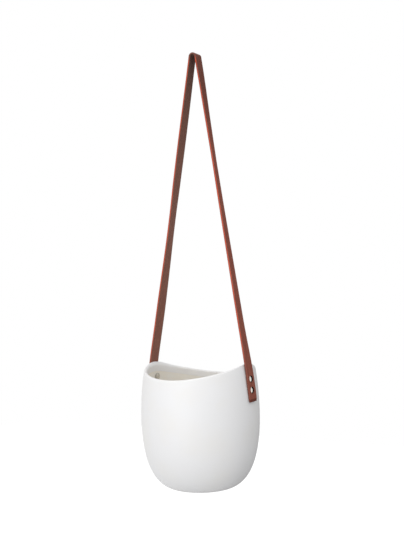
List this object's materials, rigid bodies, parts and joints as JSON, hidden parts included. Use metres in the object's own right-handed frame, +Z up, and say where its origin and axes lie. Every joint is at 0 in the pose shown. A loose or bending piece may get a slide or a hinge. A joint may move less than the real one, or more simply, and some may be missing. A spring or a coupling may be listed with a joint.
{
  "type": "hanging planter",
  "caption": "Hanging planter: round-bellied glazed ceramic pot with a saddle rim and raised ears, hung from a folded leather strap held by domed screw fasteners.",
  "frame": {"origin": "axis of the hook's seat in the fold of the strap, midway across the strap", "axes": "+Z up, +X along the strap's plane towards the right-hand ear, +Y along the hook, towards the back"},
  "size_m": [0.1746, 0.168, 0.6227],
  "materials": {
    "glazed_stoneware": "matt white glaze on stoneware",
    "tan_leather": "red-brown vegetable-tanned strap leather",
    "polished_nickel": "polished nickel plate",
    "nickel_screw": "nickel-plated, slotted",
    "washer_rubber": "soft pale grey rubber"
  },
  "bodies": {
    "strap": {"strap": "tan_leather"},
    "pot": {"pot": "glazed_stoneware", "barrel_nut_left_lower": "polished_nickel", "barrel_nut_left_upper": "polished_nickel", "barrel_nut_right_lower": "polished_nickel", "barrel_nut_right_upper": "polished_nickel", "slotted_screw_left_lower": "nickel_screw", "slotted_screw_left_upper": "nickel_screw", "slotted_screw_right_lower": "nickel_screw", "slotted_screw_right_upper": "nickel_screw", "soft_washer_left_lower": "washer_rubber", "soft_washer_left_upper": "washer_rubber", "soft_washer_right_lower": "washer_rubber", "soft_washer_right_upper": "washer_rubber"}
  },
  "joints": [
    {"name": "pot_turn", "type": "hinge", "parent": "strap", "child": "pot", "pos_m": [0, 0, 0], "axis": [0, 0, 1], "range_deg": [-90, 90], "stiffness_Nm_per_rad": 0.03, "deforming": ["strap"]}
  ]
}
